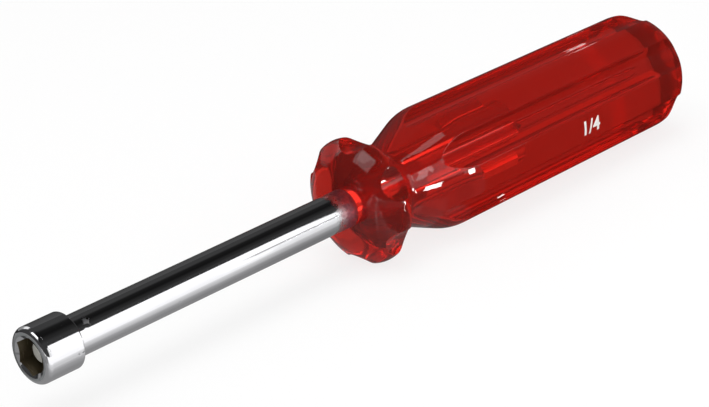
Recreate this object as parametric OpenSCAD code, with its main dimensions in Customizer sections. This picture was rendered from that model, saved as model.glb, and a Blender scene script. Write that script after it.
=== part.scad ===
// Nut driver: a hex socket on a round shaft, driven into a fluted handle.
// The tool lies on its side with the socket towards -X and the butt towards +X.
// The origin is under the middle of its length, on the surface it lies on.

/* [Shaft] */
// Length that shows, from the socket's face to the handle's front face
shank_len = 76; // [50:1:150]
// Diameter of the shaft
shaft_d = 7.7; // [7:0.1:9]
// Length of the tang inside the handle
tang_len = 44; // [30:1:60]
// Length of the two swaged wings that keep the tang from turning
wing_len = 10; // [6:0.5:14]
// Thickness of a wing
wing_t = 1.2; // [0.8:0.1:2]
// How far a wing stands out of the shaft
wing_rise = 1; // [0.5:0.1:1.5]
// Distance from the tang's end to the wings
wing_back = 3; // [1:0.5:6]
// Chamfer on the tang's end
tang_chamfer = 0.6; // [0.2:0.1:1.2]

/* [Socket] */
// Outside diameter of the socket
socket_d = 10.7; // [10:0.1:13]
// Length of the socket
socket_len = 8.1; // [7:0.1:14]
// Radius of the round on the socket's front edge
nose_round = 1.1; // [0.3:0.05:1.2]
// Chamfer on the socket's rear edge
shoulder_chamfer = 0.2; // [0.1:0.05:0.6]
// Hex size across flats, a quarter inch nut with its clearance
hex_af = 6.4; // [5.5:0.05:6.6]
// Depth of the hex hole
hex_depth = 5; // [4:0.1:6]
// Depth of the lead-in cone at the hex hole's mouth
lead_in = 0.35; // [0.2:0.05:0.6]
// Diameter of the lead-in cone at the face
lead_in_d = 7.9; // [7.7:0.1:8.4]
// Diameter of the shaft's spigot inside the socket
spigot_d = 6.6; // [6.2:0.1:6.9]

/* [Magnet] */
// Diameter of the magnet
magnet_d = 4; // [3:0.1:4.4]
// Depth of the magnet's face below the socket's face
magnet_recess = 2.2; // [1.6:0.1:4]
// Wall of the bush round the magnet
bush_wall = 0.5; // [0.3:0.05:0.7]
// Length of the bush
bush_len = 7; // [4:0.5:12]

/* [Handle] */
// Length of the handle
handle_len = 95.5; // [80:0.5:120]
// Diameter of the grip over its lobes
grip_d = 25.5; // [23:0.1:30]
// Diameter of the guard flange over its lobes
flange_d = 25.5; // [23:0.1:28]
// Diameter of the flat face at the front of the flange, before its round
face_d = 17.2; // [14:0.1:19]
// Length of the flange's front slope
front_slope_len = 3.4; // [2.5:0.1:5]
// Length of the flange's land
land_len = 2.1; // [1.5:0.1:4]
// Radius of the round between face and front slope
face_round = 7; // [2:0.5:9]
// Radius of the round between front slope and land
flange_front_round = 1.9; // [0.8:0.1:2]
// Radius of the round between land and rear slope
flange_rear_round = 2.6; // [1:0.1:4.4]
// Diameter at the bottom of the neck, before its round
neck_d = 15; // [13.5:0.1:17]
// Distance from the handle's front face to the neck
neck_at = 10.6; // [10:0.1:13]
// Radius of the round at the bottom of the neck
neck_round = 2; // [0.5:0.1:2.5]
// Distance from the handle's front face to the grip's full diameter
shoulder_at = 23.7; // [20:0.1:28]
// Radius of the round at the grip's shoulder
shoulder_round = 10.5; // [4:0.5:16]
// Radius of the dome at the butt
dome_r = 25; // [20:0.5:32]
// Radius of the round between grip and dome
butt_round = 6.2; // [3:0.1:8]
// Depth of the pocket that the drill leaves behind the tang
drill_point = 3.5; // [2:0.1:5]

/* [Flutes] */
// Number of flutes round the handle
flute_count = 6; // [4:1:8]
// Radius of a flute's hollow
flute_r = 4.35; // [3.5:0.05:4.5]
// Depth of a flute below the grip's lobes
flute_depth = 2.1; // [1.2:0.1:2.3]

/* [Hidden] */
// Gap left round the pieces that are pressed or glued together
fit_gap = 0.02;
// How far cuts run past the faces that they open
overrun = 1;
// Straight steps that make up each round of a turned outline
arc_steps = 6;
// Most of the face's ring, or of the slope beside it, that the face's round may take up
face_round_share = 0.6;
// Most of the flange's land that each of its two rounds may take up
front_round_share = 0.44;
rear_round_share = 0.54;
$fn = 96;

// Places along the tool, measured from the socket's face
overall_len = shank_len + handle_len;
bush_end = hex_depth + bush_len;
tang_end = shank_len + tang_len;

// Distance of a flute's centre line from the tool's axis
flute_at = grip_d / 2 - flute_depth + flute_r;
// The tool lies on the edges of the two lobes beside the lowest flute
rest_r = max(grip_d, flange_d) / 2;
axis_h = (rest_r * rest_r + flute_at * flute_at - flute_r * flute_r) / (2 * flute_at);
// The wings point at the second flute from the lowest, on the -Y side, and away from it
wing_turn = -2 * 360 / flute_count;

// Outline of the turned handle as radius and distance from its front face
face_corner = [face_d / 2, 0];
land_front = [flange_d / 2, front_slope_len];
land_rear = [flange_d / 2, front_slope_len + land_len];
neck_bottom = [neck_d / 2, neck_at];
shoulder = [grip_d / 2, shoulder_at];
// Centre of the butt's round, where grip and dome both touch it
dome_centre = [0, handle_len - dome_r];
butt_out = grip_d / 2 - butt_round;
butt_back = sqrt(pow(dome_r - butt_round, 2) - pow(butt_out, 2));
butt_centre = dome_centre + [butt_out, butt_back];

function unit(v) = v / norm(v);
function half_angle(a, b, c) = acos(unit(a - b) * unit(c - b)) / 2;
function round_centre(a, b, c, r) = b + unit(unit(a - b) + unit(c - b)) * r / sin(half_angle(a, b, c));
function heading(v) = atan2(v[1], v[0]);
// The shorter way round from one heading to another
function turn(from, to) = (to - from + 540) % 360 - 180;
// Points of an arc about centre that starts at a heading and turns by an angle
function arc(centre, r, from, by) =
    [for (i = [0 : arc_steps]) let (a = from + by * i / arc_steps) centre + r * [cos(a), sin(a)]];
// A round no larger than room along the side of corner b allows
function limited(a, b, c, r, room) = min(r, room * tan(half_angle(a, b, c)));
// Points of the round of radius r that takes the place of corner b between a and c
function rounded(a, b, c, r) =
    let (
        reach = r / tan(half_angle(a, b, c)),
        centre = round_centre(a, b, c, r),
        from = heading(b + unit(a - b) * reach - centre),
        to = heading(b + unit(c - b) * reach - centre)
    )
    arc(centre, r, from, turn(from, to));

// Stands a piece that is built along +Z on the tool's axis, s from the socket's face
module on_axis(s) {
    translate([s - overall_len / 2, 0, axis_h]) rotate([0, 90, 0]) children();
}

// Turned blank of the handle, before its flutes and its bore
module handle_blank() {
    grip_end = [grip_d / 2, butt_centre[1]];
    dome_heading = heading(butt_centre - dome_centre);
    front_room = land_len * front_round_share;
    rear_room = land_len * rear_round_share;
    face_ring = face_d / 2 - shaft_d / 2 - fit_gap;
    face_room = min(face_ring, norm(land_front - face_corner) - front_room) * face_round_share;
    face_r = limited([0, 0], face_corner, land_front, face_round, face_room);
    front_r = limited(face_corner, land_front, land_rear, flange_front_round, front_room);
    rear_r = limited(land_front, land_rear, neck_bottom, flange_rear_round, rear_room);
    rotate_extrude() polygon(concat(
        [[0, 0]],
        rounded([0, 0], face_corner, land_front, face_r),
        rounded(face_corner, land_front, land_rear, front_r),
        rounded(land_front, land_rear, neck_bottom, rear_r),
        rounded(land_rear, neck_bottom, shoulder, neck_round),
        rounded(neck_bottom, shoulder, grip_end, shoulder_round),
        arc(butt_centre, butt_round, 0, dome_heading),
        arc(dome_centre, dome_r, dome_heading, 90 - dome_heading)
    ));
}

// The two wings of the tang, all along the bar's thickness, grown by gap all round
module wings(gap) {
    reach = shaft_d + 2 * wing_rise + 2 * gap;
    length = wing_len + 2 * gap;
    rotate(wing_turn) translate([0, 0, tang_end - wing_back - wing_len / 2])
        cube([reach, wing_t + 2 * gap, length], center = true);
}

// Cutter for flute number i, from end to end of the handle
module flute(i) {
    on_axis(shank_len - overrun) rotate(i * 360 / flute_count) translate([flute_at, 0, 0])
        cylinder(h = handle_len + 2 * overrun, r = flute_r);
}

module handle() {
    bore_r = shaft_d / 2 + fit_gap;
    bore = [[0, -overrun], [bore_r, -overrun], [bore_r, tang_len], [0, tang_len + drill_point]];
    color("firebrick", 0.7) difference() {
        on_axis(shank_len) handle_blank();
        for (i = [0 : flute_count - 1]) flute(i);
        on_axis(shank_len) rotate_extrude() polygon(bore);
        on_axis(0) wings(fit_gap);
    }
}

// Turned blank of the shaft with its spigot, the bush's bore and the tang
module shaft_blank() {
    bush_bore_r = magnet_d / 2 + bush_wall + 2 * fit_gap;
    shaft_r = shaft_d / 2;
    rotate_extrude() polygon([
        [bush_bore_r, hex_depth],
        [spigot_d / 2, hex_depth],
        [spigot_d / 2, socket_len],
        [shaft_r, socket_len],
        [shaft_r, tang_end - tang_chamfer],
        [shaft_r - tang_chamfer, tang_end],
        [0, tang_end],
        [0, bush_end],
        [bush_bore_r, bush_end]
    ]);
}

module shaft() {
    color("silver") on_axis(0) {
        shaft_blank();
        wings(0);
    }
}

// Turned blank of the socket, before its hex hole and its bore
module socket_blank() {
    r = socket_d / 2;
    rotate_extrude() polygon(concat(
        [[0, 0]],
        rounded([0, 0], [r, 0], [r, socket_len], nose_round),
        [[r, socket_len - shoulder_chamfer], [r - shoulder_chamfer, socket_len], [0, socket_len]]
    ));
}

module socket() {
    hex_d = hex_af / cos(30);
    color("silver") difference() {
        on_axis(0) socket_blank();
        on_axis(hex_depth) mirror([0, 0, 1]) rotate(90)
            cylinder(h = hex_depth + overrun, d = hex_d, $fn = 6);
        on_axis(0) cylinder(h = lead_in, d1 = lead_in_d, d2 = hex_af);
        on_axis(hex_depth) cylinder(h = socket_len, d = spigot_d + 2 * fit_gap);
    }
}

module magnet() {
    color("gainsboro") on_axis(magnet_recess) cylinder(h = bush_end - magnet_recess, d = magnet_d);
}

module magnet_bush() {
    bore_d = magnet_d + 2 * fit_gap;
    color("goldenrod") difference() {
        on_axis(hex_depth) cylinder(h = bush_len, d = bore_d + 2 * bush_wall);
        on_axis(hex_depth - overrun) cylinder(h = bush_len + 2 * overrun, d = bore_d);
    }
}

handle();
shaft();
socket();
magnet();
magnet_bush();
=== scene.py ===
import math

import bpy
import numpy as np
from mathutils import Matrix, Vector


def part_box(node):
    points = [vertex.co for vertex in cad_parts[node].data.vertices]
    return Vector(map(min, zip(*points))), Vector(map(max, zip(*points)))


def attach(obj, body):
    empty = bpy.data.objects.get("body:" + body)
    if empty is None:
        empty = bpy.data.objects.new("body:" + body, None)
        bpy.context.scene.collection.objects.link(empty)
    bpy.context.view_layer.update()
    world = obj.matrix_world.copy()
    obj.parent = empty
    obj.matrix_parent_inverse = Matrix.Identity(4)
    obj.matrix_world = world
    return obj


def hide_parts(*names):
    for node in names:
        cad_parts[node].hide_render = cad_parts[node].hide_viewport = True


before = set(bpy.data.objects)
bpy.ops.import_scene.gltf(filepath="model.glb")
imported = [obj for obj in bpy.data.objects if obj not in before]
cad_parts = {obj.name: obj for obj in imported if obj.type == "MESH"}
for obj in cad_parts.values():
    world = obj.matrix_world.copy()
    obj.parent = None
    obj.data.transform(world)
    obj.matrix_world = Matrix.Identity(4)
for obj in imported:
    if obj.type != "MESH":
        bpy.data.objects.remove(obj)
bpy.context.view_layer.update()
bpy.ops.object.select_all(action="DESELECT")

# The shaft: a round bar of alloy steel with a spigot at the front for the socket. At the back its tang is swaged out
# into two wings that keep it from turning in the handle. It is ground, polished and bright chrome plated. Its sizes,
# and those of all pieces, are in millimetres along the tool from the socket's face and out from its axis.
mm = 0.001
nose_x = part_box("socket")[0].x
axis_z = (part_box("magnet")[0].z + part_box("magnet")[1].z) / 2
shaft_r, spigot_r, bush_bore_r = 3.85, 3.3, 2.54
spigot_at, socket_end, bush_end, tang_end = 5.0, 8.1, 12.0, 120.0
tang_chamfer = 0.6
shaft_edge = 0.2
shaft_sides = 128
wing_size = (10.0, 9.7, 1.2)
wing_at = 112.0
wing_turn = math.radians(30)
wing_edge = 0.25
edge_steps = 3
arc_degrees = 5
weld_gap = 1e-7
crease_degrees = 40


def eased(corners):
    """Outline through (along, radius, round) corners, with each corner turned into an arc of its round."""
    points = []
    for i, (s, r, ease) in enumerate(corners):
        here = Vector((s, r))
        if not ease or i in (0, len(corners) - 1):
            points.append(here)
            continue
        back = (Vector(corners[i - 1][:2]) - here).normalized()
        on = (Vector(corners[i + 1][:2]) - here).normalized()
        half = back.angle(on) / 2
        middle = here + (back + on).normalized() * ease / math.sin(half)
        start = here + back * ease / math.tan(half) - middle
        end = here + on * ease / math.tan(half) - middle
        sweep = start.angle_signed(end)
        steps = max(edge_steps, round(abs(math.degrees(sweep)) / arc_degrees))
        for k in range(steps + 1):
            a = -sweep * k / steps
            points.append(middle + Vector((start.x * math.cos(a) - start.y * math.sin(a),
                                           start.x * math.sin(a) + start.y * math.cos(a))))
    return points


def turned(name, outline, sides):
    """A piece spun round the tool's axis from its outline."""
    first_s, first_r = outline[0]
    bpy.ops.object.select_all(action="DESELECT")
    bpy.ops.mesh.primitive_plane_add(size=mm, location=(nose_x + first_s * mm, 0, axis_z + first_r * mm))
    piece = bpy.context.object
    piece.name = name
    bpy.ops.object.mode_set(mode="EDIT")
    bpy.ops.mesh.merge(type="CENTER")
    for a, b in zip(outline, outline[1:]):
        step = ((b[0] - a[0]) * mm, 0, (b[1] - a[1]) * mm)
        bpy.ops.mesh.extrude_vertices_move(TRANSFORM_OT_translate={"value": step})
    bpy.ops.mesh.select_all(action="SELECT")
    bpy.ops.mesh.spin(steps=sides, angle=2 * math.pi, center=(0, 0, axis_z), axis=(1, 0, 0))
    bpy.ops.mesh.select_all(action="SELECT")
    bpy.ops.mesh.remove_doubles(threshold=weld_gap)
    bpy.ops.mesh.normals_make_consistent(inside=False)
    bpy.ops.object.mode_set(mode="OBJECT")
    bpy.ops.object.transform_apply(location=True, rotation=True, scale=True)
    return piece


def worked(piece, tool, operation):
    """Cuts a piece with a tool, or joins the tool to it, and clears the tool away."""
    bpy.ops.object.select_all(action="DESELECT")
    bpy.context.view_layer.objects.active = piece
    piece.select_set(True)
    change = piece.modifiers.new("change", "BOOLEAN")
    change.operation = operation
    change.solver = "EXACT"
    change.object = tool
    bpy.ops.object.modifier_apply(modifier=change.name)
    bpy.data.objects.remove(tool)


def block(size, s, turn, ease):
    """A block on the tool's axis, turned about it, with its edges broken."""
    bpy.ops.object.select_all(action="DESELECT")
    bpy.ops.mesh.primitive_cube_add(size=mm, location=(nose_x + s * mm, 0, axis_z))
    piece = bpy.context.object
    piece.scale = size
    piece.rotation_euler = (turn, 0, 0)
    bpy.ops.object.transform_apply(location=True, rotation=True, scale=True)
    if ease:
        bpy.ops.object.mode_set(mode="EDIT")
        bpy.ops.mesh.select_all(action="SELECT")
        bpy.ops.mesh.bevel(offset=ease * mm, segments=edge_steps, affect="EDGES")
        bpy.ops.object.mode_set(mode="OBJECT")
    return piece


def smooth(piece, degrees):
    """Shades a piece smooth, apart from its edges that are sharper than an angle."""
    bpy.ops.object.select_all(action="DESELECT")
    bpy.context.view_layer.objects.active = piece
    piece.select_set(True)
    bpy.ops.object.shade_smooth_by_angle(angle=math.radians(degrees))


shaft = turned("chromed_shaft", eased([
    (bush_end, 0, 0),
    (bush_end, bush_bore_r, 0),
    (spigot_at, bush_bore_r, 0),
    (spigot_at, spigot_r, shaft_edge),
    (socket_end, spigot_r, 0),
    (socket_end, shaft_r, 0),
    (tang_end - tang_chamfer, shaft_r, shaft_edge),
    (tang_end, shaft_r - tang_chamfer, shaft_edge),
    (tang_end, 0, 0),
]), shaft_sides)
worked(shaft, block(wing_size, wing_at, wing_turn, wing_edge), "UNION")
smooth(shaft, crease_degrees)


def put(tree, made, name, value):
    """Sets an input of a node, or links it."""
    if isinstance(value, bpy.types.NodeSocket):
        tree.links.new(value, made.inputs[name])
    else:
        made.inputs[name].default_value = value


def node(tree, kind, **sockets):
    """A shader node with its inputs set or linked by name."""
    made = tree.nodes.new(kind)
    for name, value in sockets.items():
        put(tree, made, name.replace("_", " "), value)
    return made


def handling_marks():
    """Fine marks that a polished surface picks up: hairlines round the tool, small pits and a cloudy film."""
    hairline_stretch = (1.0, 0.12, 0.12)
    line_from, line_full = 0.58, 0.74
    pit_from, pit_full = 0.10, 0.04
    group = bpy.data.node_groups.new("handling_marks", "ShaderNodeTree")
    for name, kind in (("Vector", "NodeSocketVector"), ("Line Scale", "NodeSocketFloat"),
                       ("Pit Scale", "NodeSocketFloat"), ("Cloud Scale", "NodeSocketFloat")):
        group.interface.new_socket(name, in_out="INPUT", socket_type=kind)
    for name in ("Lines", "Pits", "Cloud"):
        group.interface.new_socket(name, in_out="OUTPUT", socket_type="NodeSocketFloat")
    given = group.nodes.new("NodeGroupInput").outputs
    out = group.nodes.new("NodeGroupOutput")
    stretch = group.nodes.new("ShaderNodeVectorMath")
    stretch.operation = "MULTIPLY"
    put(group, stretch, 0, given["Vector"])
    put(group, stretch, 1, hairline_stretch)
    lines = node(group, "ShaderNodeTexNoise", Vector=stretch.outputs[0], Scale=given["Line Scale"],
                 Detail=4.0, Roughness=0.75)
    edge = node(group, "ShaderNodeMapRange", Value=lines.outputs["Fac"], From_Min=line_from, From_Max=line_full)
    put(group, out, "Lines", edge.outputs["Result"])
    pits = node(group, "ShaderNodeTexVoronoi", Vector=given["Vector"], Scale=given["Pit Scale"], Randomness=1.0)
    hole = node(group, "ShaderNodeMapRange", Value=pits.outputs["Distance"], From_Min=pit_from, From_Max=pit_full)
    put(group, out, "Pits", hole.outputs["Result"])
    cloud = node(group, "ShaderNodeTexNoise", Vector=given["Vector"], Scale=given["Cloud Scale"],
                 Detail=3.0, Roughness=0.6)
    put(group, out, "Cloud", cloud.outputs["Fac"])
    return group


marks = handling_marks()


def new_finish(name, metallic, lines, pits, clouds):
    """A material with the marks placed in it. Gives the material, its tree, its shader and what the marks put out."""
    finish = bpy.data.materials.new(name)
    finish.use_nodes = True
    tree = finish.node_tree
    shader = tree.nodes["Principled BSDF"]
    shader.inputs["Metallic"].default_value = metallic
    place = tree.nodes.new("ShaderNodeTexCoord")
    group = tree.nodes.new("ShaderNodeGroup")
    group.node_tree = marks
    put(tree, group, "Vector", place.outputs["Object"])
    put(tree, group, "Line Scale", lines)
    put(tree, group, "Pit Scale", pits)
    put(tree, group, "Cloud Scale", clouds)
    return finish, tree, shader, group.outputs


def ranged(tree, value, low, high):
    """A value from 0 to 1 spread from low to high."""
    return node(tree, "ShaderNodeMapRange", Value=value, To_Min=low, To_Max=high).outputs["Result"]


def blended(tree, share, a, b):
    """A colour between a and b, each a plain colour or one that another node puts out."""
    mix = tree.nodes.new("ShaderNodeMix")
    mix.data_type = "RGBA"
    put(tree, mix, "Factor", share)
    for name, colour in (("A", a), ("B", b)):
        put(tree, mix, name, (*colour, 1) if isinstance(colour, tuple) else colour)
    return mix.outputs["Result"]


def raised(tree, height, depth, strength):
    """A normal from a height in the shader."""
    return node(tree, "ShaderNodeBump", Height=height, Distance=depth, Strength=strength).outputs["Normal"]


def scaled(tree, value, by, plus=0.0):
    """A value times another, plus a third."""
    sum_up = tree.nodes.new("ShaderNodeMath")
    sum_up.operation = "MULTIPLY_ADD"
    for k, term in enumerate((value, by, plus)):
        put(tree, sum_up, k, term)
    return sum_up.outputs[0]


plate_tones = ((0.69, 0.69, 0.71), (0.78, 0.78, 0.80))
plate_polish = (0.04, 0.11)
hairline_rough = 0.05
pit_depth = 0.04 * mm


def chrome(name):
    """Bright chrome plate over polished steel. Gives the material, its tree, its shader, its colour and roughness."""
    finish, tree, metal, found = new_finish(name, metallic=1.0, lines=2600.0, pits=210.0, clouds=160.0)
    tone = blended(tree, found["Cloud"], *plate_tones)
    rough = scaled(tree, found["Lines"], hairline_rough, ranged(tree, found["Cloud"], *plate_polish))
    put(tree, metal, "Base Color", tone)
    put(tree, metal, "Roughness", rough)
    put(tree, metal, "Normal", raised(tree, found["Pits"], depth=-pit_depth, strength=0.3))
    return finish, tree, metal, tone, rough


def dressed(piece, finish):
    """Gives a piece its material."""
    piece.data.materials.clear()
    piece.data.materials.append(finish)


plate, tree, metal, tone, rough = chrome("shaft_chrome_plate")
place = tree.nodes.new("ShaderNodeTexCoord").outputs["Object"]

# The last stretch before the handle is dull and rough, with a ragged front. Its colour there is a dark mauve, a
# painted reflection of the red handle
dull_from, dull_full, dull_ragged = 70.5, 73.5, 3.0
red_reflection_tone = (0.30, 0.16, 0.19)
dull_rough = 0.95
along = node(tree, "ShaderNodeSeparateXYZ", Vector=place).outputs["X"]
grain = node(tree, "ShaderNodeTexNoise", Vector=place, Scale=1500.0, Detail=3.0).outputs["Fac"]
dull_and_red_reflection = node(tree, "ShaderNodeMapRange", Value=scaled(tree, grain, dull_ragged * mm, along),
            From_Min=nose_x + (dull_from + dull_ragged / 2) * mm,
            From_Max=nose_x + (dull_full + dull_ragged / 2) * mm).outputs["Result"]
# Painted reflection: the chrome's colour turns dark mauve here, standing in for the red handle seen in the steel
painted_red_reflection = blended(tree, dull_and_red_reflection, (0.0, 0.0, 0.0), red_reflection_tone)
put(tree, metal, "Base Color", blended(tree, dull_and_red_reflection, tone, painted_red_reflection))
rough = scaled(tree, scaled(tree, grain, dull_and_red_reflection), dull_rough, rough)

# A small spot behind the socket is rubbed dull
rubbed_spot = (-74.7, -2.3, 15.4)
rub_spread, rub_from, rub_full = 2.2, -0.3, -0.8
rub_rough = 0.5
away = tree.nodes.new("ShaderNodeVectorMath")
away.operation = "DISTANCE"
put(tree, away, 0, place)
put(tree, away, 1, [v * mm for v in rubbed_spot])
scratch = node(tree, "ShaderNodeTexNoise", Vector=place, Scale=2600.0, Detail=2.0).outputs["Fac"]
rub = node(tree, "ShaderNodeMapRange", Value=scaled(tree, scratch, -rub_spread * mm, away.outputs["Value"]),
           From_Min=rub_from * mm, From_Max=rub_full * mm).outputs["Result"]
put(tree, metal, "Roughness", scaled(tree, rub, rub_rough, rough))
dressed(shaft, plate)
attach(shaft, "root")
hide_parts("shaft")

# The bush: a thin brass ring pressed into the shaft's front bore. It keeps the steel from shorting the magnet's
# pull, and shows as a fine yellow ring at the bottom of the hex hole.
bush_inner_r, bush_outer_r = 2.02, 2.52
bush_edge = 0.08
ring_sides = 64
bush = turned("magnet_bush_ring", eased([
    (spigot_at, bush_inner_r, 0),
    (spigot_at, bush_outer_r, bush_edge),
    (bush_end, bush_outer_r, bush_edge),
    (bush_end, bush_inner_r, 0),
    (spigot_at, bush_inner_r, 0),
]), ring_sides)
smooth(bush, crease_degrees)
brass_tones = ((0.46, 0.30, 0.10), (0.72, 0.52, 0.22))
brass, tree, metal, found = new_finish("turned_brass", metallic=1.0, lines=5200.0, pits=900.0, clouds=700.0)
put(tree, metal, "Base Color", blended(tree, found["Cloud"], *brass_tones))
put(tree, metal, "Roughness", ranged(tree, found["Lines"], low=0.28, high=0.5))
put(tree, metal, "Normal", raised(tree, found["Lines"], depth=0.02 * mm, strength=0.25))
dressed(bush, brass)
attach(bush, "root")
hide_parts("magnet_bush")

# The magnet: a sintered rod with a satin nickel skin, glued into the bush. Its face stands up inside the hex hole,
# where it meets the screw head, and its rim is broken.
magnet_face, magnet_r = 2.2, 2.0
magnet_front_edge, magnet_back_edge = 0.25, 0.15
magnet = turned("holding_magnet", eased([
    (magnet_face, 0, 0),
    (magnet_face, magnet_r, magnet_front_edge),
    (bush_end, magnet_r, magnet_back_edge),
    (bush_end, 0, 0),
]), ring_sides)
smooth(magnet, crease_degrees)
nickel_tones = ((0.42, 0.41, 0.37), (0.66, 0.65, 0.60))
nickel, tree, metal, found = new_finish("satin_nickel", metallic=0.2, lines=3800.0, pits=1300.0, clouds=900.0)
put(tree, metal, "Base Color", blended(tree, found["Cloud"], *nickel_tones))
put(tree, metal, "Roughness", ranged(tree, found["Lines"], low=0.4, high=0.55))
put(tree, metal, "Normal", raised(tree, found["Pits"], depth=-pit_depth, strength=0.4))
dressed(magnet, nickel)
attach(magnet, "root")
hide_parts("magnet")

# The socket: a turned steel nose with a broached hex hole, pressed on the shaft's spigot. Its front edge is rounded,
# the hole has a lead-in cone, and the outside is bright chrome plated while the broached walls are bare steel, painted
# darker still for the shade inside the hole.
socket_r, nose_round, socket_edge = 5.35, 1.1, 0.4
spigot_hole_r, blank_hole_r = 3.32, 2.9
lead_in, lead_in_r, lead_in_edge = 0.49, 3.95, 0.12
socket_sides, socket_crease = 144, 28
hex_flats = 6.4
hex_corner = hex_flats / 2 / math.cos(math.radians(30))
broach_len, broach_mid = 6.0, 2.0
socket = turned("hex_socket_nose", eased([
    (socket_end, spigot_hole_r, 0),
    (spigot_at, spigot_hole_r, 0),
    (spigot_at, blank_hole_r, 0),
    (lead_in, blank_hole_r, 0),
    (0.0, lead_in_r, lead_in_edge),
    (0.0, socket_r, nose_round),
    (socket_end, socket_r, socket_edge),
    (socket_end, spigot_hole_r, 0),
]), socket_sides)
bpy.ops.object.select_all(action="DESELECT")
bpy.ops.mesh.primitive_cylinder_add(vertices=6, radius=hex_corner * mm, depth=broach_len * mm,
                                    rotation=(0, math.pi / 2, 0), location=(nose_x + broach_mid * mm, 0, axis_z))
broach = bpy.context.object
broach.rotation_euler.rotate_axis("Z", math.radians(90))
bpy.ops.object.transform_apply(location=True, rotation=True, scale=True)
worked(socket, broach, "DIFFERENCE")
smooth(socket, socket_crease)
dressed(socket, chrome("socket_chrome_plate")[0])

# The walls' colour is bare broached steel darkened further by painted shade, the shade deep inside the hex hole
wall_and_shade_tones = ((0.06, 0.046, 0.024), (0.12, 0.094, 0.056))
broached_and_shaded, tree, metal, found = new_finish("broached_steel_painted_shade", metallic=0.45, lines=2400.0, pits=900.0, clouds=600.0)
put(tree, metal, "Base Color", blended(tree, found["Cloud"], *wall_and_shade_tones))
put(tree, metal, "Roughness", ranged(tree, found["Lines"], low=0.22, high=0.42))
put(tree, metal, "Normal", raised(tree, found["Lines"], depth=0.03 * mm, strength=0.3))
socket.data.materials.append(broached_and_shaded)

ground_tones = ((0.44, 0.46, 0.47), (0.78, 0.80, 0.81))
ground, tree, metal, found = new_finish("ground_face", metallic=1.0, lines=3000.0, pits=1400.0, clouds=1100.0)
put(tree, metal, "Base Color", blended(tree, found["Cloud"], *ground_tones))
put(tree, metal, "Roughness", ranged(tree, found["Cloud"], low=0.28, high=0.42))
put(tree, metal, "Normal", raised(tree, found["Pits"], depth=-pit_depth, strength=0.5))
socket.data.materials.append(ground)

# Walls of the hole face the axis, and the ground ring lies in the front plane
face_depth, wall_r = 0.02, 3.75
wall_lean, face_lean = 0.3, 0.9
for face in socket.data.polygons:
    s = (face.center.x - nose_x) / mm
    r = math.hypot(face.center.y, face.center.z - axis_z) / mm
    outward = face.normal.y * face.center.y + face.normal.z * (face.center.z - axis_z)
    lean = abs(face.normal.x)
    if s > face_depth and r < wall_r and outward < 0 and lean < wall_lean:
        face.material_index = 1
    elif s < face_depth and lean > face_lean:
        face.material_index = 2
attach(socket, "root")
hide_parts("socket")

# The handle: a bar of clear red cellulose acetate, turned to a guard flange, a neck and a grip with a domed butt.
# Six flutes are cut along it, right through the flange, and the polished edges between flute and lobe are fine.
handle_at, handle_len = 76.0, 95.5
grip_r = 12.75
face_r, face_round = 8.6, 7.0
land_front, land_front_round = 3.4, 1.9
land_rear, land_rear_round = 5.5, 2.6
neck_at, neck_r, neck_round = 10.6, 7.5, 2.0
shoulder_at, shoulder_round = 23.7, 10.5
dome_r, butt_round = 25.0, 6.2
butt_steps, dome_steps = 24, 12
bore_r, bore_len, drill_end = 3.87, 44.0, 47.5
bore_rings = (30.0, 15.0)
flute_r, flute_at = 4.35, 15.0
flute_bottom = flute_at - flute_r
flute_edge = 0.3
fit_gap = 0.02
handle_sides, handle_crease = 288, 34
longest_out, along_share = 0.13, 14


def parted(points):
    """The same outline with its long runs parted into shorter ones, finer outwards than along."""
    parts = [points[0]]
    for a, b in zip(points, points[1:]):
        reach = max(abs(b[1] - a[1]) / longest_out, abs(b[0] - a[0]) / (longest_out * along_share))
        count = max(1, math.ceil(reach))
        parts += [a + (b - a) * (k + 1) / count for k in range(count)]
    return parts


dome_at = handle_len - dome_r
butt_out = grip_r - butt_round
butt_at = dome_at + math.sqrt((dome_r - butt_round) ** 2 - butt_out ** 2)
dome_turn = math.atan2(butt_at - dome_at, butt_out)
outside = eased([
    (0.0, bore_r, 0),
    (0.0, face_r, face_round),
    (land_front, grip_r, land_front_round),
    (land_rear, grip_r, land_rear_round),
    (neck_at, neck_r, neck_round),
    (shoulder_at, grip_r, shoulder_round),
    (butt_at, grip_r, 0),
])
for k in range(1, butt_steps + 1):
    a = dome_turn * k / butt_steps
    outside.append(Vector((butt_at + butt_round * math.sin(a), butt_out + butt_round * math.cos(a))))
for k in range(1, dome_steps + 1):
    a = dome_turn + (math.pi / 2 - dome_turn) * k / dome_steps
    outside.append(Vector((dome_at + dome_r * math.sin(a), dome_r * math.cos(a))))
outside[-1].y = 0
bore = [Vector((drill_end, 0))] + [Vector((s, bore_r)) for s in (bore_len, *bore_rings)]
handle_outline = [(handle_at + p[0], p[1]) for p in bore + parted(outside)]
handle = turned("acetate_handle", handle_outline, handle_sides)

# Each ring of the spun bar is drawn in to its flutes, with its points gathered on the rounds of the flutes' edges
period = math.radians(60)
first_flute = math.radians(30)
least_turn, least_edge = math.radians(3), 0.75
flute_share, edge_share = 0.42, 0.60
plain_r = 9.0
points = np.empty(len(handle.data.vertices) * 3)
handle.data.vertices.foreach_get("co", points)
points = points.reshape(-1, 3) / mm
out = np.hypot(points[:, 1], points[:, 2] - axis_z / mm)
turn = np.arctan2(points[:, 2] - axis_z / mm, -points[:, 1])
from_flute = (turn - first_flute + period / 2) % period - period / 2
side = np.sign(from_flute)
even = np.abs(from_flute)

# Where the edge's round meets the lobe, where it meets the flute, and its centre
ease_out = np.maximum(out, flute_bottom) - flute_edge
lobe_turn = np.arccos(np.clip((ease_out ** 2 + flute_at ** 2 - (flute_r + flute_edge) ** 2)
                              / (2 * ease_out * flute_at), -1, 1))
ease_y = ease_out * np.sin(lobe_turn)
ease_x = ease_out * np.cos(lobe_turn)
edge_x = flute_at + (ease_x - flute_at) * flute_r / (flute_r + flute_edge)
edge_y = ease_y * flute_r / (flute_r + flute_edge)
edge_turn = np.arctan2(edge_y, edge_x)

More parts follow.
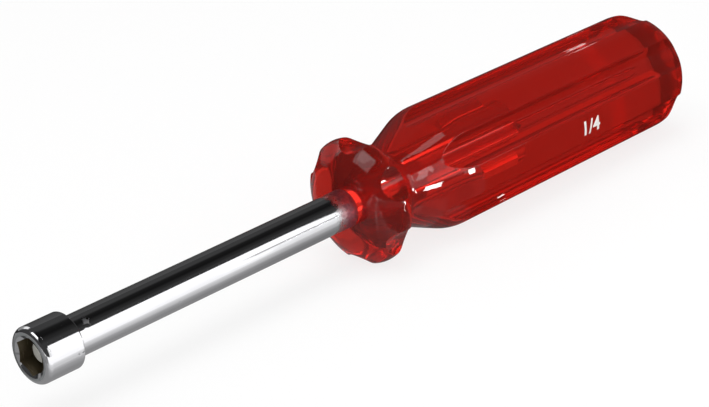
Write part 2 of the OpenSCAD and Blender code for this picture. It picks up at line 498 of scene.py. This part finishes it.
# Points are shared out between flute, edge and lobe
lobe_line = np.maximum(lobe_turn, least_turn)
edge_line = np.where(lobe_turn > least_turn, edge_turn, least_turn * least_edge)
share = even / (period / 2)
on_edge = edge_line + (lobe_line - edge_line) * (share - flute_share) / (edge_share - flute_share)
on_lobe = lobe_line + (period / 2 - lobe_line) * (share - edge_share) / (1 - edge_share)
spread = np.where(share < flute_share, edge_line * share / flute_share, np.where(share < edge_share, on_edge, on_lobe))
drawn = np.clip((out - plain_r) / (flute_bottom - plain_r), 0, 1)
angle = even + (spread - even) * drawn

# The radius of each point on flute, edge or lobe
flute_reach = flute_at * np.cos(angle) - np.sqrt(np.maximum(flute_r ** 2 - (flute_at * np.sin(angle)) ** 2, 0))
bend = ease_x * np.cos(angle) + ease_y * np.sin(angle)
edge_reach = bend + np.sqrt(np.maximum(flute_edge ** 2 - ease_out ** 2 + bend ** 2, 0))
reach = np.where(out <= flute_bottom, out,
                 np.where(angle < edge_turn, flute_reach, np.where(angle < lobe_turn, edge_reach, out)))
new_turn = turn + side * (angle - even)
shaped = np.column_stack([points[:, 0], -reach * np.cos(new_turn), axis_z / mm + reach * np.sin(new_turn)])
handle.data.vertices.foreach_set("co", (shaped * mm).ravel())
handle.data.update()
worked(handle, block([v + 2 * fit_gap for v in wing_size], wing_at, wing_turn, 0), "DIFFERENCE")
smooth(handle, handle_crease)

acetate_tones = ((0.78, 0.054, 0.037), (0.88, 0.066, 0.047))
dye_tone = (0.70, 0.10, 0.0, 1)
acetate, tree, clear, found = new_finish("clear_red_acetate", metallic=0.0, lines=900.0, pits=260.0, clouds=90.0)
clear.inputs["Transmission Weight"].default_value = 0.875
clear.inputs["IOR"].default_value = 1.475
put(tree, clear, "Base Color", blended(tree, found["Cloud"], *acetate_tones))
put(tree, clear, "Roughness", ranged(tree, found["Lines"], low=0.01, high=0.07))
put(tree, clear, "Normal", raised(tree, found["Cloud"], depth=0.4 * mm, strength=0.12))
dye = node(tree, "ShaderNodeVolumeAbsorption", Color=dye_tone, Density=100.0)
tree.links.new(dye.outputs["Volume"], tree.nodes["Material Output"].inputs["Volume"])
dressed(handle, acetate)
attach(handle, "root")
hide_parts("handle")

# The size mark: the hex size as plain figures in white ink, stamped on the lobe that faces forward. The ink is a thin
# film that follows the lobe's round, a little worn and thin in places.
mark_at = 135.65
mark_width, mark_height = 5.0, 3.1
mark_bands = 12
stroke_swell = 0.02
ink_thick, ink_gap = 0.02, 0.004
ink_weld = 1e-4
bpy.ops.object.select_all(action="DESELECT")
bpy.ops.object.text_add(location=(0, 0, 0))
mark = bpy.context.object
mark.name = "size_mark"
mark.data.body = "1/4"
mark.data.offset = stroke_swell
mark.data.resolution_u = 6
bpy.ops.object.convert(target="MESH")
low = [min(v.co[k] for v in mark.data.vertices) for k in (0, 1)]
high = [max(v.co[k] for v in mark.data.vertices) for k in (0, 1)]
mark.scale = (mark_width / (high[0] - low[0]), mark_height / (high[1] - low[1]), 1)
mark.location = [-(a + b) / 2 * c for a, b, c in zip(low, high, mark.scale)] + [0]
bpy.ops.object.transform_apply(location=True, rotation=True, scale=True)
bpy.ops.object.mode_set(mode="EDIT")
for k in range(1, mark_bands):
    bpy.ops.mesh.select_all(action="SELECT")
    bpy.ops.mesh.bisect(plane_co=(0, mark_height * (k / mark_bands - 0.5), 0), plane_no=(0, 1, 0))
bpy.ops.mesh.select_all(action="SELECT")
bpy.ops.mesh.remove_doubles(threshold=ink_weld)
bpy.ops.object.mode_set(mode="OBJECT")
coat = mark.modifiers.new("coat", "SOLIDIFY")
coat.thickness = ink_thick
coat.offset = 1
bpy.ops.object.modifier_apply(modifier=coat.name)
for v in mark.data.vertices:
    ink_r = grip_r + ink_gap + v.co.z
    up = v.co.y / grip_r
    v.co = (nose_x + (mark_at + v.co.x) * mm, -ink_r * math.cos(up) * mm, axis_z + ink_r * math.sin(up) * mm)
mark.data.update()
ink_tones = ((0.87, 0.85, 0.82), (0.66, 0.50, 0.47))
ink, tree, paint, found = new_finish("white_ink", metallic=0.0, lines=2200.0, pits=2600.0, clouds=1500.0)
put(tree, paint, "Base Color", blended(tree, found["Lines"], *ink_tones))
put(tree, paint, "Roughness", ranged(tree, found["Cloud"], low=0.35, high=0.6))
put(tree, paint, "Normal", raised(tree, found["Cloud"], depth=0.02 * mm, strength=0.3))
dressed(mark, ink)
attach(mark, "root")

# The studio, in metres: a wide sheet of white paper under an even sky, with three soft lamps. Cards stand for the
# rest of the room. Most show only in reflections, as the dark and pale bands of the chrome and as small glints. The
# last few show only through the acetate and light it from behind.
paper_tone = (0.93, 0.93, 0.93, 1)
paper_glow = 0.8
bpy.ops.object.select_all(action="DESELECT")
bpy.ops.mesh.primitive_plane_add(size=6, location=(0, 0, 0))
floor = bpy.context.object
floor.name = "studio_floor"
paper = bpy.data.materials.new("white_paper")
paper.use_nodes = True
tree = paper.node_tree
sheet = tree.nodes["Principled BSDF"]
sheet.inputs["Roughness"].default_value = 0.9
sheet.inputs["Specular IOR Level"].default_value = 0.1
sheet.inputs["Base Color"].default_value = paper_tone


def in_view(tree):
    """1 for rays from the camera, or from metal and clear pieces, and 0 for the light that falls on things."""
    path = tree.nodes.new("ShaderNodeLightPath")
    most = path.outputs["Is Camera Ray"]
    for name in ("Is Transmission Ray", "Is Glossy Ray"):
        either = tree.nodes.new("ShaderNodeMath")
        either.operation = "MAXIMUM"
        put(tree, either, 0, most)
        put(tree, either, 1, path.outputs[name])
        most = either.outputs[0]
    return most


glow = node(tree, "ShaderNodeEmission", Color=(1, 1, 1, 1), Strength=1.0)
white = tree.nodes.new("ShaderNodeMixShader")
put(tree, white, "Fac", scaled(tree, in_view(tree), paper_glow))
put(tree, white, 1, sheet.outputs[0])
put(tree, white, 2, glow.outputs[0])
tree.links.new(white.outputs[0], tree.nodes["Material Output"].inputs["Surface"])
dressed(floor, paper)


def toned(tree, way, stops):
    """Tones along a direction in space, through (place along it, tone) stops."""
    spot = tree.nodes.new("ShaderNodeNewGeometry")
    along = tree.nodes.new("ShaderNodeVectorMath")
    along.operation = "DOT_PRODUCT"
    put(tree, along, 0, spot.outputs["Position"])
    put(tree, along, 1, way)
    first, last = stops[0][0], stops[-1][0]
    share = node(tree, "ShaderNodeMapRange", Value=along.outputs["Value"], From_Min=first, From_Max=last)
    ramp = node(tree, "ShaderNodeValToRGB", Fac=share.outputs["Result"])
    ramp.color_ramp.interpolation = "EASE"
    steps = ramp.color_ramp.elements
    for k, (at, tone) in enumerate(stops):
        if k == 0:
            step = steps[0]
        elif k == len(stops) - 1:
            step = steps[-1]
        else:
            step = steps.new((at - first) / (last - first))
        step.color = (tone, tone, tone, 1)
    return ramp.outputs["Color"]


def card(name, size, place, aim, *tones, turn=0, through=False, tint=(1, 1, 1)):
    """A flat card that faces a point, and may be turned in its plane by some degrees. It shows only in reflections, or
    only through the acetate. It has one tone, or runs of tones that are multiplied."""
    bpy.ops.object.select_all(action="DESELECT")
    bpy.ops.mesh.primitive_plane_add(size=1, location=place)
    made = bpy.context.object
    made.name = name
    made.scale = (*size, 1)
    made.rotation_euler = (Vector(aim) - Vector(place)).to_track_quat("Z", "Y").to_euler()
    made.rotation_euler.rotate_axis("Z", math.radians(turn))
    made.visible_camera = made.visible_diffuse = made.visible_shadow = False
    made.visible_glossy = not through
    made.visible_transmission = through
    finish = bpy.data.materials.new(name)
    finish.use_nodes = True
    tree = finish.node_tree
    tree.nodes.clear()
    level = 1.0
    for run in tones:
        level = run if isinstance(run, float) else scaled(tree, toned(tree, *run), level)
    shine = node(tree, "ShaderNodeEmission", Color=(*tint, 1), Strength=level)
    end = tree.nodes.new("ShaderNodeOutputMaterial")
    tree.links.new(shine.outputs[0], end.inputs["Surface"])
    dressed(made, finish)


def laid(name, size, place, *tones, **how):
    """A card that lies on the floor, face up."""
    card(name, size, place, (place[0], place[1], 1), *tones, **how)


def stood(name, size, place, *tones, **how):
    """A card that stands along the tool and faces it squarely."""
    card(name, size, place, (place[0], 0, place[2]), *tones, **how)


# Dark cards all round
over, up, lengthwise = (0, 1, 0), (0, 0, 1), (1, 0, 0)
card("card_above", (1.6, 1.25), (0.0, -0.125, 0.5), (0.0, -0.125, 0.0),
     (over, [(-0.41, 0.048), (-0.22, 0.025), (-0.07, 0.009), (0.07, 0.0124), (0.2, 0.055)]))
card("card_behind", (2.2, 1.3), (0.5, 0.6, 0.55), (0, 0, 0.55), (up, [(0.1, 0.07), (0.4, 0.087), (0.7, 0.10)]))
card("card_right", (1.2, 0.8), (0.75, -0.35, 0.3), (0, 0, 0.1), 0.05)
card("card_left", (1.2, 0.8), (-0.8, 0.25, 0.3), (0, 0, 0.1), 0.05)
card("card_back_left", (0.9, 0.8), (-0.5, 0.62, 0.35), (0, 0, 0.1), 0.05)
card("card_front", (1.1, 0.9), (-0.55, -0.58, 0.40), (0, 0, 0.05), 0.05)

# Cards on the floor, each a little above the ones that it overlaps
laid("floor_behind", (2.0, 1.0), (0.1, 0.58, 0.0003), 0.03)
# The red tint of floor_handle is painted light: the red glow that the acetate casts on the floor, as seen in
# reflections
laid("floor_handle", (1.2, 0.5), (0.59, -0.17, 0.0003), 0.12, tint=(1, 0.08, 0.06))
laid("floor_under", (0.32, 0.115), (-0.15, 0.035, 0.0004), 0.28)
laid("floor_flange", (0.075, 0.0785), (-0.0575, 0.05325, 0.0005), 0.05)
laid("floor_left", (0.6, 0.6), (-0.182, -0.394, 0.0003), 0.25, turn=38)
laid("floor_front", (0.10, 0.38), (0.0367, -0.1134, 0.0004), 0.12, turn=38)
laid("floor_shank", (0.117, 0.03), (-0.0535, -0.001, 0.0006),
     (over, [(-0.016, 0.74), (-0.0125, 0.5), (-0.0097, 0.38), (-0.004, 0.28)]),
     (lengthwise, [(-0.06, 1.1), (-0.035, 1.0), (-0.012, 0.8)]))

# Pale panels that stand before and behind the tool
stood("panel_socket", (0.031, 0.0135), (-0.0845, -0.016, 0.00675),
      (up, [(0.0, 0.74), (0.0022, 0.77), (0.005, 0.90), (0.0074, 1.3), (0.0135, 1.4)]))
stood("panel_shank", (0.0645, 0.0135), (-0.04225, -0.008, 0.00675),
      (up, [(0.0, 0.35), (0.0028, 0.38), (0.0055, 0.48), (0.0073, 0.66), (0.0087, 0.73), (0.0098, 0.88),
            (0.0108, 1.22), (0.0135, 1.35)]),
      (lengthwise, [(-0.066, 1.05), (-0.041, 1.0), (-0.021, 0.8)]))
stood("panel_white", (0.155, 0.17), (0.0975, -0.2, 0.085), 1.5)
stood("panel_foot", (0.1, 0.05), (0.158, -0.196, 0.02), 0.5)
stood("panel_back", (0.22, 0.3), (-0.05, 0.3, 0.165), (up, [(0.1, 0.32), (0.14, 0.5), (0.165, 1.1), (0.3, 1.1)]))

# Bright cards for the glints
card("glint_nose", (0.28, 0.27), (-0.387, 0.108, 0.40), (-0.085, -0.002, 0.017), 1.5)
card("glint_top", (0.02, 0.085), (0.014, -0.143, 0.45), (0.01, -0.007, 0.021), 1.7)
card("glint_flange", (0.21, 0.055), (-0.365, 0.09, 0.37), (-0.007, -0.005, 0.022), 2.6)
card("glint_neck_upper", (0.004, 0.07), (-0.004, -0.2, 0.1), (0.0045, -0.008, 0.0165), 4.0)
stood("glint_neck", (0.004, 0.009), (0.0055, -0.06, 0.0047), 30.0)
card("glint_shoulder", (0.016, 0.008), (0.028, -0.06, 0.011), (0.0135, -0.012, 0.014), 30.0)
card("glint_lobe", (0.0016, 0.0007), (0.0308, -0.0143, 0.0024), (0.0254, -0.0087, 0.0041), 14.0)
card("glint_back", (0.008, 0.107), (0.424, 0.224, 0.286), (0.063, 0.0008, 0.023), 3.5, turn=-40)

# Cards that show through the acetate
laid("glow_floor_front", (0.2, 0.18), (0.1, -0.115, 0.0008), 4.5, through=True)
card("glow_panel", (0.17, 0.25), (0.115, -0.21, 0.125), (0.05, 0, 0.02), 9.0, through=True)
card("glow_right", (0.5, 0.6), (0.6, -0.05, 0.35), (0.04, 0, 0.02), 2.8, through=True)
card("glow_left", (0.3, 0.25), (-0.25, 0.35, 0.27), (0, 0, 0.01), 2.5, through=True)
laid("glow_floor_behind", (1.1, 0.6), (0.5, 0.31, 0.0008), 0.58, through=True)
stood("glow_behind", (2.2, 1.3), (0.5, 0.62, 0.65), 0.4, through=True)


def softbox(name, size, place, aim, level):
    """A soft lamp whose face has the given brightness, where 1 is white. The cards stand for it in reflections."""
    data = bpy.data.lights.new(name, "AREA")
    data.shape = "RECTANGLE"
    data.size, data.size_y = size
    data.energy = level * math.pi * size[0] * size[1]
    lamp = bpy.data.objects.new(name, data)
    lamp.location = place
    lamp.rotation_euler = (Vector(aim) - Vector(place)).to_track_quat("-Z", "Y").to_euler()
    lamp.visible_camera = lamp.visible_glossy = False
    bpy.context.scene.collection.objects.link(lamp)


softbox("softbox_front", (0.145, 0.17), (0.1025, -0.2, 0.085), (0.1025, 0, 0.085), 1.6)
softbox("softbox_left", (0.14, 0.4), (-0.2, 0.0, 0.45), (-0.2, 0.0, 0), 2.5)
softbox("softbox_above", (0.3, 0.3), (0.05, 0.0, 0.6), (0.05, 0.0, 0), 3.0)

sky_level, white_level = 0.7, 1.0
world = bpy.data.worlds.new("studio")
bpy.context.scene.world = world
world.use_nodes = True
tree = world.node_tree
sky = tree.nodes["Background"]
sky.inputs["Color"].default_value = (1, 1, 1, 1)
tree.links.new(ranged(tree, in_view(tree), sky_level, white_level), sky.inputs["Strength"])

# The camera: a long lens before the socket's end, looking along the tool and down at it, as in the photograph. Its
# place, turn and lens are fitted to the outlines of socket, shaft and handle.
eye_place = (-0.27312, -0.28074, 0.17755)
eye_turn = (66.7847, 4.5445, -45.4301)
eye = bpy.data.cameras.new("camera")
eye.sensor_width = 36
eye.lens = 111.0
eye.clip_start = 0.01
camera = bpy.data.objects.new("camera", eye)
camera.location = eye_place
camera.rotation_euler = [math.radians(v) for v in eye_turn]
bpy.context.scene.collection.objects.link(camera)
bpy.context.scene.camera = camera
bpy.context.scene.view_settings.view_transform = "Standard"
